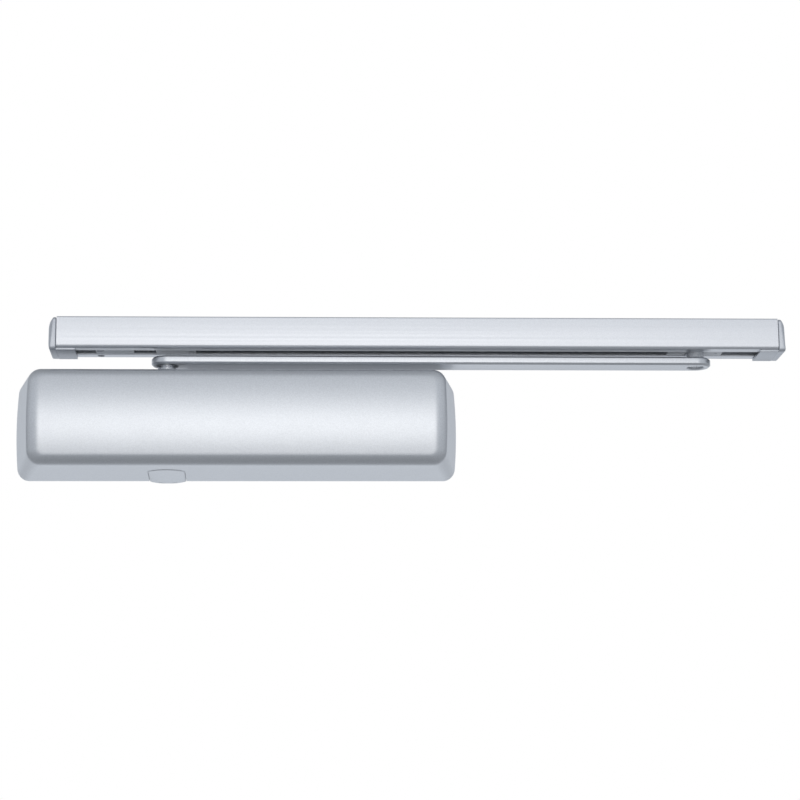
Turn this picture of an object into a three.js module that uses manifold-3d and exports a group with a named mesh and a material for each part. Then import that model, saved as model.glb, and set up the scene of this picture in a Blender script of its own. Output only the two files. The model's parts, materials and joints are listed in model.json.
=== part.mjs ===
// A cam-action door closer with a slide-rail arm, in millimetres.
// Frame: the origin is on the door's face at the spindle's axis, half way up the closer body.
// +X runs along the door towards the body's long end, +Y goes into the door, +Z is up.
import * as THREE from "three";
import { ConvexGeometry } from "three/addons/geometries/ConvexGeometry.js";
import { mergeVertices } from "three/addons/utils/BufferGeometryUtils.js";
import Module from "manifold-3d";

const wasm = await Module();
wasm.setup();

// ---------------------------------------------------------------- driving dimensions

const GAP = 0.3; // clearance between pieces that touch on the real object
// How far an arc's handles lie towards the corner that the arc rounds.
const ARC_HANDLE = 0.5523;
const SPINDLE_Y = -28; // the spindle's axis in front of the door's face
const WIDE = 32; // sides of the housing's bores and what fits them
const ROUND = 24; // sides of an ordinary round piece
const COARSE = 14; // sides of a small round piece

// Cover: a shell that flares from its rounded front panel out to the door.
const COVER_BACK = { y: -0.6, left: -93.3, right: 177.8, half: 31, corner: 7.3 };
const COVER_FRONT = { y: -52.5, left: -82, right: 168.4, half: 29.3, corner: 8.5 };
const COVER_CROWN_Y = -56.7;
// How far its rounding reaches each way: shorter on the end flanks, longer on the panel there.
const COVER_EDGE = { flank: 7.5, endFlank: 4.5, panel: 5.5, ends: 1.7 };
const COVER_END_BULGE = 1.7;
const PANEL_BARREL_R = 102;
const COVER_WALL = 1.8;
const SPINDLE_SLOT = { half: 11.3, nose: 7.3 };

// Mounting plate on the door.
const PLATE = { left: -84, right: 168, half: 27.5, thick: 3, corner: 5 };
const PLATE_SCREW_R = 2.7;
const DOOR_HOLES = { left: -36, right: 118, z: 23.2 };

// Housing casting and its bores.
const HOUSING = { left: -78, right: 160, front: -47.5, half: 20.5, corner: 8 };
const HOUSING_BACK_Y = -PLATE.thick - GAP;
const BORE_R = 16;
const CHAMBER_R = 17.5;
const CHAMBER_FLOOR_Z = -5;
const BOSS_R = 19.3;
const BOSS_HALF = 24;
const LUG = { left: -66, right: 148, z: 23.2, r: 4.4, front: -12 };
const SCREW_HEAD_R = 4.1;
const VALVE_Z = 14.5;
const VALVE_R = 2.9;
const VALVE_FRONT_Y = -47.4;
const VALVE_LENGTH = 9;
const VALVES = { latching_speed_valve: -60, closing_speed_valve: -42, backcheck_valve: 40 };

// Spindle, heart cam and rollers. The cam's two rollers stay a fixed distance apart.
const SHAFT_R = 6.6;
const BEARING_R = 11;
const SEAL_R = 10;
const CAM_HALF = 4.4;
const ROLLER_R = 6.5;
const ROLLER_PIN_R = 2.4;
const CAM_RISE = 2.7; // millimetres of roller travel for each radian of the spindle
const SPRING_ROLLER_X = 14.5;
const DAMPER_ROLLER_X = -(SPRING_ROLLER_X + CAM_RISE * Math.PI);

// Pistons, springs and end plugs on the bore's axis.
const PISTON_R = BORE_R - GAP;
const FORK_REACH = 4.3; // from the roller pin to the fork's end
const SPRING_PISTON_END_X = 58;
const DAMPER_PISTON_END_X = -52;
const PLUG_LENGTH = 12;
const MAIN_SPRING = { from: 46.5, to: 127.6, meanR: 10.3, wireR: 1.9, turns: 9 };
const RETURN_SPRING = { from: -65.6, to: -44.6, meanR: 8, wireR: 0.8, turns: 4 };
const SPRING_PLATE = { from: 128, to: 133.5, r: 15.4 };
const ADJUSTER_R = 3.6;

// Arm, from the spindle to the slider's pivot.
const ARM_LENGTH = 324.3;
const ARM = { bottom: 35.1, top: 40.4, hubR: 9.6, endR: 9.1, chamfer: 1.2 };

// Guide rail, a channel that is open below, with the slider and stop unit inside it.
const RAIL = { left: -66.5, right: 373.5, front: -43, back: -13, bottom: 44.1, top: 63.1 };
const RAIL_WALL = 2.3;
const RAIL_SLOT = { front: -33.6, back: -21.2 };
const CHANNEL = {
  front: RAIL.front + RAIL_WALL,
  back: RAIL.back - RAIL_WALL,
  bottom: RAIL.bottom + RAIL_WALL,
  top: RAIL.top - RAIL_WALL,
};
const CAP = { flange: 11, sheet: 1.2, shoulder: 2.8, bulge: 2.2, corner: 2 };
const SLIDER = { left: 307.2, right: 341.2 };
const PIVOT_SCREW_R = 2.9;
const STOP_BLOCK = { left: -43.7, right: -20.5 };
const STOP_CARRIAGE = { left: -6.9, right: 17.2 };
const STOP_AXIS = { y: -27.4, z: 49.8 };
const STOP_SPRING = { meanR: 4.2, wireR: 0.6, turns: 4 };

// ---------------------------------------------------------------- materials

const finish = (color, metalness, roughness) =>
  new THREE.MeshStandardMaterial({ color, metalness, roughness });
const SILVER_PAINT = finish(0xb9bec7, 0.7, 0.42);
const ANODISED = finish(0xd3d6da, 0.85, 0.35);
const CAP_GREY = finish(0xa4a9b2, 0.3, 0.5);
const CAST_IRON = finish(0x7d8187, 0.6, 0.7);
const ZINC_STEEL = finish(0xbcc0c4, 0.95, 0.3);
const HARD_STEEL = finish(0x9fa3a8, 1, 0.22);
const SPRING_STEEL = finish(0x63676c, 0.9, 0.4);
const LIGHT_NYLON = finish(0xdcdee0, 0, 0.5);
const BRONZE = finish(0xb08d57, 0.9, 0.4);
const BRASS = finish(0xc6a65c, 0.9, 0.3);
const RUBBER = finish(0x202225, 0, 0.8);

// ---------------------------------------------------------------- solids

// The axes that a turned or extruded piece can lie on, as turns of three.js's own axis.
const LATHE_TURN = {
  x: new THREE.Matrix4().makeRotationZ(-Math.PI / 2),
  y: new THREE.Matrix4(),
  z: new THREE.Matrix4().makeRotationX(Math.PI / 2),
};
// An outline drawn on (y, z), (z, x) or (x, y) is pushed along x, y or z.
const EXTRUDE_TURN = {
  x: new THREE.Matrix4().set(0, 0, 1, 0, 1, 0, 0, 0, 0, 1, 0, 0, 0, 0, 0, 1),
  y: new THREE.Matrix4().set(0, 1, 0, 0, 0, 0, 1, 0, 1, 0, 0, 0, 0, 0, 0, 1),
  z: new THREE.Matrix4(),
};

function solid(geometry) {
  const bare = new THREE.BufferGeometry();
  const source = geometry.index ? geometry.toNonIndexed() : geometry;
  bare.setAttribute("position", source.getAttribute("position"));
  const merged = mergeVertices(bare, 1e-4);
  const mesh = new wasm.Mesh({
    numProp: 3,
    vertProperties: merged.attributes.position.array,
    triVerts: new Uint32Array(merged.index.array),
  });
  return new wasm.Manifold(mesh);
}

function geometryOf(manifold) {
  const mesh = manifold.getMesh();
  const geometry = new THREE.BufferGeometry();
  geometry.setAttribute("position", new THREE.BufferAttribute(mesh.vertProperties, 3));
  geometry.setIndex(new THREE.BufferAttribute(mesh.triVerts, 1));
  geometry.computeVertexNormals();
  return geometry;
}

const union = (...pieces) => pieces.reduce((sum, piece) => sum.add(piece));
const cut = (body, ...tools) => tools.reduce((rest, tool) => rest.subtract(tool), body);

function box(x, y, z) {
  const geometry = new THREE.BoxGeometry(x[1] - x[0], y[1] - y[0], z[1] - z[0]);
  geometry.translate((x[0] + x[1]) / 2, (y[0] + y[1]) / 2, (z[0] + z[1]) / 2);
  return solid(geometry);
}

// A closed turned profile of [radius, height] points, listed upwards on the outside.
function turned(profile, axis, centre, sides = ROUND) {
  const points = profile.map(([radius, height]) => new THREE.Vector2(radius, height));
  const geometry = new THREE.LatheGeometry(points, sides);
  geometry.applyMatrix4(LATHE_TURN[axis]);
  geometry.translate(...centre);
  return solid(geometry);
}

function disc(radius, from, to, axis, centre, sides = ROUND) {
  const profile = [[0, from], [radius, from], [radius, to], [0, to]];
  return turned(profile, axis, centre, sides);
}

function ring(outer, inner, from, to, axis, centre, sides = ROUND) {
  const profile = [[inner, from], [outer, from], [outer, to], [inner, to], [inner, from]];
  return turned(profile, axis, centre, sides);
}

function extruded(shape, from, to, axis, bevel = 0, curveSegments = 4) {
  const geometry = new THREE.ExtrudeGeometry(shape, {
    depth: to - from - 2 * bevel,
    bevelEnabled: bevel > 0,
    bevelThickness: bevel,
    bevelSize: bevel,
    bevelOffset: -bevel,
    bevelSegments: 1,
    curveSegments,
  });
  geometry.translate(0, 0, from + bevel);
  geometry.applyMatrix4(EXTRUDE_TURN[axis]);
  return solid(geometry);
}

// A rectangle with rounded corners; radii run anticlockwise from the low corner.
function roundedRect(low, high, radii) {
  const [a, b, c, d] = Array.isArray(radii) ? radii : [radii, radii, radii, radii];
  const shape = new THREE.Shape();
  shape.moveTo(low[0] + a, low[1]);
  shape.lineTo(high[0] - b, low[1]);
  shape.absarc(high[0] - b, low[1] + b, b, -Math.PI / 2, 0);
  shape.lineTo(high[0], high[1] - c);
  shape.absarc(high[0] - c, high[1] - c, c, 0, Math.PI / 2);
  shape.lineTo(low[0] + d, high[1]);
  shape.absarc(low[0] + d, high[1] - d, d, Math.PI / 2, Math.PI);
  shape.lineTo(low[0], low[1] + a);
  shape.absarc(low[0] + a, low[1] + a, a, Math.PI, 1.5 * Math.PI);
  return shape;
}

// A tongue about the spindle with an oval nose, open towards the door.
function tongue(half, nose, back) {
  const shape = new THREE.Shape();
  shape.moveTo(half, back);
  shape.lineTo(-half, back);
  shape.lineTo(-half, SPINDLE_Y);
  shape.absellipse(0, SPINDLE_Y, half, nose, Math.PI, 2 * Math.PI);
  return shape;
}

// A coil spring along X: a round wire swept along a helix.
function coil({ meanR, wireR, turns }, from, to, centre) {
  const stepsPerTurn = 10;
  const wire = new THREE.Shape();
  wire.absarc(0, 0, wireR, 0, 2 * Math.PI);
  const steps = turns * stepsPerTurn;
  const points = [];
  for (let i = 0; i <= steps; i += 1) {
    const angle = (2 * Math.PI * i) / stepsPerTurn;
    const x = from + wireR + ((to - from - 2 * wireR) * i) / steps;
    const y = centre[0] + meanR * Math.cos(angle);
    const z = centre[1] + meanR * Math.sin(angle);
    points.push(new THREE.Vector3(x, y, z));
  }
  const path = new THREE.CatmullRomCurve3(points);
  return solid(new THREE.ExtrudeGeometry(wire, { steps, extrudePath: path, curveSegments: 3 }));
}

// A hexagon prism, as a key's socket or a screw's head.
const hexagon = (acrossFlats, from, to, axis, centre) =>
  disc(acrossFlats / Math.sqrt(3), from, to, axis, centre, 6);

// ---------------------------------------------------------------- the finished group

const doorCloser = new THREE.Group();

function add(name, piece, material) {
  const mesh = new THREE.Mesh(geometryOf(piece), material);
  mesh.name = name;
  doorCloser.add(mesh);
}

const ON_SPINDLE = [0, SPINDLE_Y, 0];
const ON_BORE = [0, SPINDLE_Y, 0];

// ---------------------------------------------------------------- cover

const mix = (a, b, t) => a + (b - a) * t;

// The cover's rounded outline at depth y, drawn in by inset and more at its ends, as [x, z].
function coverOutline(y, inset, ends = 0) {
  const t = (y - COVER_BACK.y) / (COVER_FRONT.y - COVER_BACK.y);
  const left = mix(COVER_BACK.left, COVER_FRONT.left, t) + inset + ends;
  const right = mix(COVER_BACK.right, COVER_FRONT.right, t) - inset - ends;
  const half = mix(COVER_BACK.half, COVER_FRONT.half, t) - inset;
  const corner = Math.max(mix(COVER_BACK.corner, COVER_FRONT.corner, t) - inset, 1.4);
  const cornerSteps = 5;
  const sideSteps = 6;
  const points = [];
  for (const [x, z, start] of [
    [right - corner, half - corner, 0],
    [left + corner, half - corner, 1],
    [left + corner, corner - half, 2],
    [right - corner, corner - half, 3],
  ]) {
    for (let i = 0; i <= cornerSteps; i += 1) {
      const angle = (Math.PI / 2) * (start + i / cornerSteps);
      points.push([x + corner * Math.cos(angle), z + corner * Math.sin(angle)]);
    }
  }
  for (let i = 1; i < sideSteps; i += 1) {
    const z = mix(corner - half, half - corner, i / sideSteps);
    points.push([left, z], [right, z]);
  }
  return points;
}

// The cover's ends bulge: they are longest at mid height.
function bulged(x, z) {
  const middle = (COVER_BACK.left + COVER_BACK.right) / 2;
  const reach = (COVER_BACK.right - COVER_BACK.left) / 2;
  const toEnd = ((x - middle) / reach) ** 8;
  return x - Math.sign(x - middle) * COVER_END_BULGE * toEnd * (z / COVER_BACK.half) ** 2;
}

// How far the rounding reaches down the flank at a point of the front outline.
function flankReach(x) {
  const toEnd = Math.min(x - COVER_FRONT.left, COVER_FRONT.right - x) / COVER_FRONT.corner;
  return mix(COVER_EDGE.endFlank, COVER_EDGE.flank, Math.min(1, Math.max(0, toEnd)));
}

// The convex body inside the cover's skin: wall 0 gives the outside, COVER_WALL the hollow.
function coverBody(wall, back) {
  const panel = (z) => COVER_CROWN_Y + wall + (z * z) / (2 * PANEL_BARREL_R);
  const points = coverOutline(back, wall).map(([x, z]) => new THREE.Vector3(bulged(x, z), back, z));
  const base = coverOutline(COVER_BACK.y, wall);
  const inner = coverOutline(COVER_FRONT.y, COVER_EDGE.panel, COVER_EDGE.ends);
  const roundingSteps = 4;
  for (const [i, [x, z]] of coverOutline(COVER_FRONT.y, wall).entries()) {
    const corner = new THREE.Vector3(x, panel(z), z);
    const down = new THREE.Vector3(base[i][0], COVER_BACK.y, base[i][1]).sub(corner);
    const start = corner.clone().add(down.setLength(flankReach(x) - wall));
    const end = new THREE.Vector3(inner[i][0], panel(inner[i][1]), inner[i][1]);
    const handles = [start, end].map((point) => point.clone().lerp(corner, ARC_HANDLE));
    const rounding = new THREE.CubicBezierCurve3(start, ...handles, end);
    for (const point of rounding.getPoints(roundingSteps)) {
      points.push(point.setX(bulged(point.x, point.z)));
    }
  }
  return solid(new ConvexGeometry(points));
}

function cover() {
  const slot = tongue(SPINDLE_SLOT.half, SPINDLE_SLOT.nose, 2);
  return cut(
    coverBody(0, COVER_BACK.y),
    coverBody(COVER_WALL, 1),
    extruded(slot, 20, 40, "z", 0, 6),
    extruded(slot, -40, -20, "z", 0, 6),
  );
}

// The tongue-shaped plug in the cover's lower slot, domed most at the door.
function spindleCap() {
  const half = SPINDLE_SLOT.half - GAP;
  const nose = SPINDLE_SLOT.nose - GAP;
  const flare = (COVER_BACK.half - COVER_FRONT.half) / (COVER_FRONT.y - COVER_BACK.y);
  const underside = (y) => -(COVER_BACK.half + flare * (COVER_BACK.y - y));
  const front = SPINDLE_Y - nose;
  const top = 1.6;
  const rim = 0.3;
  const dome = 1.6;
  const points = [];
  for (const { x, y } of tongue(half, nose, COVER_BACK.y).getPoints(6)) {
    points.push(new THREE.Vector3(x, y, underside(y) + top));
    points.push(new THREE.Vector3(x, y, underside(y) - rim));
  }
  for (const share of [0, 0.35, 0.65]) {
    for (const { x, y } of tongue(half * share, nose * share, COVER_BACK.y - 2 * share).getPoints(6)) {
      const rise = dome * (1 - (x / half) ** 2) * ((y - front) / (COVER_BACK.y - front));
      points.push(new THREE.Vector3(x, y, underside(y) - rim - rise));
    }
  }
  const clipTop = -25.3;
  const clipBottom = -27;
  const stemBottom = -29.4;
  return union(
    solid(new ConvexGeometry(points)),
    extruded(tongue(half - 1, nose - 1, -3), stemBottom, clipTop, "z", 0, 6),
    extruded(tongue(half + 2.2, nose + 2.2, -3), clipBottom, clipTop, "z", 0, 6),
  );
}

// A spring-steel angle on the mounting plate that the cover's end clips over.
function coverClip(footFrom, footTo, wallX) {
  const sheet = 1.2;
  const foot = -PLATE.thick - GAP;
  const halfWidth = 9;
  const reach = -20;
  return union(
    box([footFrom, footTo], [foot - sheet, foot], [-halfWidth, halfWidth]),
    box([wallX, wallX + sheet], [reach, foot], [-halfWidth, halfWidth]),
  );
}

add("cover", cover(), SILVER_PAINT);
add("spindle_cap", spindleCap(), SILVER_PAINT);
add("cover_clip_left", coverClip(-84, -78.6, -84.8), ZINC_STEEL);
add("cover_clip_right", coverClip(161, 168.6, 168), ZINC_STEEL);

// ---------------------------------------------------------------- plate and housing

const LUG_PLACES = [
  [LUG.left, LUG.z],
  [LUG.left, -LUG.z],
  [LUG.right, LUG.z],
  [LUG.right, -LUG.z],
];

function mountingPlate() {
  const low = [-PLATE.half, PLATE.left];
  const high = [PLATE.half, PLATE.right];
  const sheet = extruded(roundedRect(low, high, PLATE.corner), -PLATE.thick, 0, "y");
  const holes = LUG_PLACES.map(([x, z]) =>
    disc(PLATE_SCREW_R, -PLATE.thick - 1, 1, "y", [x, 0, z], COARSE));
  const sink = [[0, -4], [6.5, -4], [PLATE_SCREW_R, -0.9], [PLATE_SCREW_R, 1], [0, 1]];
  for (const x of [DOOR_HOLES.left, DOOR_HOLES.right]) {
    for (const z of [DOOR_HOLES.z, -DOOR_HOLES.z]) {
      holes.push(turned(sink, "y", [x, 0, z], COARSE));
    }
  }
  return cut(sheet, ...holes);
}

function housing() {
  const low = [HOUSING.front, -HOUSING.half];
  const high = [HOUSING_BACK_Y, HOUSING.half];
  const section = roundedRect(low, high, [HOUSING.corner, 1.5, 1.5, HOUSING.corner]);
  const boss = disc(BOSS_R, -BOSS_HALF, BOSS_HALF, "z", ON_SPINDLE, WIDE);
  const lugs = LUG_PLACES.map(([x, z]) => union(
    disc(LUG.r, LUG.front, HOUSING_BACK_Y, "y", [x, 0, z], COARSE),
    box([x - LUG.r, x + LUG.r], [LUG.front, HOUSING_BACK_Y], [Math.min(0, z), Math.max(0, z)]),
  ));
  const bossDepth = VALVE_FRONT_Y + 9;
  const valveX = Object.values(VALVES);
  const valveBosses = valveX.map((x) =>
    disc(5, VALVE_FRONT_Y - 0.4, bossDepth, "y", [x, 0, VALVE_Z], COARSE));
  const body = union(
    extruded(section, HOUSING.left, HOUSING.right, "x"), boss, ...lugs, ...valveBosses);
  const valveBores = valveX.map((x) => disc(
    VALVE_R + GAP, VALVE_FRONT_Y - 2, VALVE_FRONT_Y + VALVE_LENGTH + GAP, "y",
    [x, 0, VALVE_Z], COARSE));
  const lugHoles = LUG_PLACES.map(([x, z]) => union(
    disc(PLATE_SCREW_R, LUG.front - 1, 0, "y", [x, 0, z], COARSE),
    disc(SCREW_HEAD_R + GAP, HOUSING.front - 1, LUG.front, "y", [x, 0, z], COARSE),
  ));
  return cut(
    body,
    disc(BORE_R, HOUSING.left - 1, HOUSING.right + 1, "x", ON_BORE, WIDE),
    disc(CHAMBER_R, CHAMBER_FLOOR_Z, BOSS_HALF + 1, "z", ON_SPINDLE, WIDE),
    disc(BEARING_R + GAP, -21.3, 0, "z", ON_SPINDLE),
    disc(SEAL_R + GAP, -BOSS_HALF - 1, -20, "z", ON_SPINDLE),
    ...valveBores,
    ...lugHoles,
  );
}

// A socket-head screw through a housing lug into the plate.
function housingScrew(x, z) {
  const head = LUG.front - GAP;
  const place = [x, 0, z];
  return cut(
    union(
      disc(SCREW_HEAD_R, head - 3.2, head, "y", place, COARSE),
      disc(2.3, head - 1, -0.4, "y", place, COARSE),
    ),
    hexagon(3, head - 4, head - 1.4, "y", place),
  );
}

add("mounting_plate", mountingPlate(), ZINC_STEEL);
add("housing", housing(), CAST_IRON);
LUG_PLACES.forEach(([x, z], i) => add(`housing_screw_${i + 1}`, housingScrew(x, z), ZINC_STEEL));

// A slotted needle valve in the housing's front.
function needleValve(x) {
  const end = VALVE_FRONT_Y + VALVE_LENGTH;
  const profile = [
    [0, VALVE_FRONT_Y], [VALVE_R, VALVE_FRONT_Y], [VALVE_R, end - 3], [1.1, end - 1.2], [0, end],
  ];
  const slot = box([x - 0.4, x + 0.4], [VALVE_FRONT_Y - 1, VALVE_FRONT_Y + 1.1],
    [VALVE_Z - VALVE_R - 1, VALVE_Z + VALVE_R + 1]);
  return cut(turned(profile, "y", [x, 0, VALVE_Z], 16), slot);
}

for (const [name, x] of Object.entries(VALVES)) add(name, needleValve(x), BRASS);

// ---------------------------------------------------------------- bearings, seals and plugs

const CAP_FLOOR_Z = 16.3;
const SEAL_SHELF_Z = 21.2;

// The threaded cap that closes the chamber over the cam, with pockets for bearing and seal.
function chamberCap() {
  const top = BOSS_HALF + GAP;
  return cut(
    disc(CHAMBER_R - GAP, CAP_FLOOR_Z, top, "z", ON_SPINDLE, WIDE),
    disc(BEARING_R + GAP, CAP_FLOOR_Z - 1, SEAL_SHELF_Z, "z", ON_SPINDLE),
    disc(SEAL_R + GAP, SEAL_SHELF_Z - 1, top + 1, "z", ON_SPINDLE),
  );
}

const shaftRing = (outer, from, to) =>
  ring(outer, SHAFT_R + GAP, from, to, "z", ON_SPINDLE);

// An end plug with a groove for its sealing ring; outer is the side that faces out of the bore.
function endPlug(from, to, hole) {
  const grooveFrom = (from + to) / 2 - 1.6;
  const grooveTo = (from + to) / 2 + 1.6;
  const plug = cut(
    disc(PISTON_R, from, to, "x", ON_BORE, WIDE),
    ring(PISTON_R + 1, PISTON_R - 2.4, grooveFrom, grooveTo, "x", ON_BORE, WIDE),
  );
  return cut(plug, hole);
}

function plugSeal(from, to) {
  const middle = (from + to) / 2;
  return ring(PISTON_R, PISTON_R - 2.1, middle - 1.3, middle + 1.3, "x", ON_BORE, WIDE);
}

const springPlug = [HOUSING.right - PLUG_LENGTH, HOUSING.right];
const damperPlug = [HOUSING.left, HOUSING.left + PLUG_LENGTH];
const adjusterHole = disc(ADJUSTER_R + GAP, 100, HOUSING.right + 1, "x", ON_BORE, COARSE);
const keySocket = hexagon(10, HOUSING.left - 1, HOUSING.left + 5, "x", ON_BORE);

add("chamber_cap", chamberCap(), ZINC_STEEL);
add("upper_bearing", shaftRing(BEARING_R, CAP_FLOOR_Z + GAP, SEAL_SHELF_Z - GAP), BRONZE);
add("lower_bearing", shaftRing(BEARING_R, -21, -16.4), BRONZE);
add("upper_shaft_seal", shaftRing(SEAL_R, SEAL_SHELF_Z + GAP, BOSS_HALF), RUBBER);
add("lower_shaft_seal", shaftRing(SEAL_R, -BOSS_HALF, -21.3), RUBBER);
add("spring_end_plug", endPlug(...springPlug, adjusterHole), ZINC_STEEL);
add("damper_end_plug", endPlug(...damperPlug, keySocket), ZINC_STEEL);
add("spring_plug_seal", plugSeal(...springPlug), RUBBER);
add("damper_plug_seal", plugSeal(...damperPlug), RUBBER);

// ---------------------------------------------------------------- pistons, rollers and springs

// A piston whose forked end holds a roller; the slot between the forks clears the cam.
function piston(rollerX, inward, endX, socketDepth, socketR) {
  const forkX = rollerX - inward * FORK_REACH;
  const slotX = rollerX + inward * (ROLLER_R + 1.6);
  const span = (a, b) => [Math.min(a, b), Math.max(a, b)];
  const slotHalf = CAM_HALF + 0.5;
  const [from, to] = span(forkX, endX);
  const [slotFrom, slotTo] = span(forkX - inward, slotX);
  const [socketFrom, socketTo] = span(endX - inward * socketDepth, endX + inward);
  return cut(
    disc(PISTON_R, from, to, "x", ON_BORE, WIDE),
    box([slotFrom, slotTo], [SPINDLE_Y - BORE_R, SPINDLE_Y + BORE_R], [-slotHalf, slotHalf]),
    disc(socketR, socketFrom, socketTo, "x", ON_BORE),
    disc(ROLLER_PIN_R + GAP, -BORE_R, BORE_R, "z", [rollerX, SPINDLE_Y, 0], COARSE),
    disc(2.3, ...span(slotX - inward, endX), "x", ON_BORE, COARSE),
  );
}

const PIN_HALF = 14;
const rollerPin = (x) =>
  disc(ROLLER_PIN_R, -PIN_HALF, PIN_HALF, "z", [x, SPINDLE_Y, 0], COARSE);
const roller = (x) =>
  ring(ROLLER_R, ROLLER_PIN_R + GAP, -CAM_HALF, CAM_HALF, "z", [x, SPINDLE_Y, 0]);
const checkValve = (from, to) => disc(2, from, to, "x", ON_BORE, 12);

add("spring_piston", piston(SPRING_ROLLER_X, 1, SPRING_PISTON_END_X, 12, 13), HARD_STEEL);
add("spring_roller_pin", rollerPin(SPRING_ROLLER_X), HARD_STEEL);
add("spring_roller", roller(SPRING_ROLLER_X), HARD_STEEL);
add("spring_check_valve", checkValve(28, 44), BRASS);
add("damper_piston", piston(DAMPER_ROLLER_X, -1, DAMPER_PISTON_END_X, 8, 10), HARD_STEEL);
add("damper_roller_pin", rollerPin(DAMPER_ROLLER_X), HARD_STEEL);
add("damper_roller", roller(DAMPER_ROLLER_X), HARD_STEEL);
add("damper_check_valve", checkValve(-42.5, -33), BRASS);
add("main_spring", coil(MAIN_SPRING, MAIN_SPRING.from, MAIN_SPRING.to, [SPINDLE_Y, 0]),
  SPRING_STEEL);
add("return_spring", coil(RETURN_SPRING, RETURN_SPRING.from, RETURN_SPRING.to, [SPINDLE_Y, 0]),
  SPRING_STEEL);
add("spring_plate", cut(
  disc(SPRING_PLATE.r, SPRING_PLATE.from, SPRING_PLATE.to, "x", ON_BORE, WIDE), adjusterHole,
), ZINC_STEEL);

// The key-headed screw that draws the spring plate along the bore.
function springAdjuster() {
  const head = HOUSING.right + GAP;
  return cut(
    union(
      disc(ADJUSTER_R, 104, head + 1, "x", ON_BORE, COARSE),
      disc(6.6, head, head + 5.2, "x", ON_BORE, COARSE),
    ),
    hexagon(6, head + 2, head + 6, "x", ON_BORE),
  );
}

add("spring_adjusting_screw", springAdjuster(), ZINC_STEEL);

// ---------------------------------------------------------------- spindle, cam and arm

// Heart-shaped cam: the roller's path is a spiral of constant rise on each side of the X axis,
// and the flank lies one roller radius inside that path.
function camShape() {
  const reach = ROLLER_R + 0.2;
  const steps = 26;
  const flank = [];
  for (let i = 0; i <= steps; i += 1) {
    const angle = (Math.PI * i) / steps;
    const radius = SPRING_ROLLER_X + CAM_RISE * angle;
    const tilt = Math.atan2(CAM_RISE, radius);
    const x = radius * Math.cos(angle) - reach * Math.cos(angle - tilt);
    const y = radius * Math.sin(angle) - reach * Math.sin(angle - tilt);
    if (y > 0.05) flank.push(new THREE.Vector2(x, y));
  }
  const notch = new THREE.Vector2(SPRING_ROLLER_X - reach, 0);
  const tip = new THREE.Vector2(DAMPER_ROLLER_X + reach, 0);
  const mirrored = flank.map(({ x, y }) => new THREE.Vector2(x, -y)).reverse();
  return new THREE.Shape([notch, ...flank, tip, ...mirrored]);
}

function cam() {
  const plate = extruded(camShape(), -CAM_HALF, CAM_HALF, "z").translate(ON_SPINDLE);
  return cut(plate, disc(SHAFT_R + GAP, -9, 9, "z", ON_SPINDLE));
}

// The spindle's shaft, its taper above the cover, and the threaded hole for the arm's screw.
function spindle() {
  const top = 37.4;
  const shoulder = 26.5;
  const neck = 4.6;
  const hole = 29;
  const holeR = 2.9;
  return turned([
    [0, -24.6], [5.4, -24.6], [5.4, -21.5], [SHAFT_R, -21.3], [SHAFT_R, shoulder],
    [neck, 30.4], [neck, top], [holeR, top], [holeR, hole], [0, hole],
  ], "z", ON_SPINDLE);
}

// The arm's collar: it widens upwards from the cover in two rings.
function armCollar() {
  const bore = 4.9;
  return turned([
    [bore, 30.8], [5.5, 30.8], [5.9, 31.3], [5.6, 32.2], [5.9, 32.5], [6.4, 33.2],
    [6.1, 33.8], [6.9, 34.2], [7.5, ARM.bottom - GAP], [bore, ARM.bottom - GAP], [bore, 30.8],
  ], "z", ON_SPINDLE);
}

// The arm in plan: straight sides that run from the hub's round end to the slider's.
function armOutline() {
  const tilt = Math.asin((ARM.hubR - ARM.endR) / ARM_LENGTH);
  const shape = new THREE.Shape();
  shape.absarc(0, SPINDLE_Y, ARM.hubR, Math.PI / 2 - tilt, 1.5 * Math.PI + tilt);
  shape.absarc(ARM_LENGTH, SPINDLE_Y, ARM.endR, tilt - Math.PI / 2, Math.PI / 2 - tilt);
  return shape;
}

const ON_PIVOT = [ARM_LENGTH, SPINDLE_Y, 0];
const SINK_TOP_R = 4.4;
const RECESS_TOP_Z = 38;

function arm() {
  const sink = [[0, 35], [4.9, 35], [4.9, 38.2], [SINK_TOP_R + GAP, 38.4], [SINK_TOP_R + GAP, 42],
    [0, 42]];
  return cut(
    extruded(armOutline(), ARM.bottom, ARM.top, "z", ARM.chamfer, 7),
    turned(sink, "z", ON_SPINDLE),
    disc(5, ARM.bottom - 1, RECESS_TOP_Z, "z", ON_PIVOT),
    disc(4.5, RECESS_TOP_Z - 1, ARM.top + 1, "z", ON_PIVOT),
  );
}

function armScrew() {
  const underHead = 38.6;
  const profile = [[0, 29.5], [2.6, 29.5], [2.6, underHead - 0.3], [SINK_TOP_R, underHead],
    [SINK_TOP_R, ARM.top], [0, ARM.top]];
  return cut(turned(profile, "z", ON_SPINDLE, COARSE), hexagon(4, 38.9, 42, "z", ON_SPINDLE));
}

add("spindle", spindle(), HARD_STEEL);
add("cam", cam(), HARD_STEEL);
add("arm", arm(), SILVER_PAINT);
add("arm_collar", armCollar(), ZINC_STEEL);
add("arm_screw", armScrew(), ZINC_STEEL);
add("arm_end_bush", ring(4.2, PIVOT_SCREW_R + GAP, RECESS_TOP_Z + GAP, ARM.top + 0.2, "z",
  ON_PIVOT, COARSE), BRONZE);

// ---------------------------------------------------------------- slider

// A block in the channel with a neck that fills the slot: the form that slider and stops share.
function channelBlock(left, right) {
  const side = GAP;
  return union(
    box([left, right], [CHANNEL.front + side, CHANNEL.back - side],
      [CHANNEL.bottom + side, CHANNEL.top - side]),
    box([left, right], [RAIL_SLOT.front + side, RAIL_SLOT.back - side],
      [RAIL.bottom + 0.2, CHANNEL.bottom + 1]),
  );
}

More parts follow.
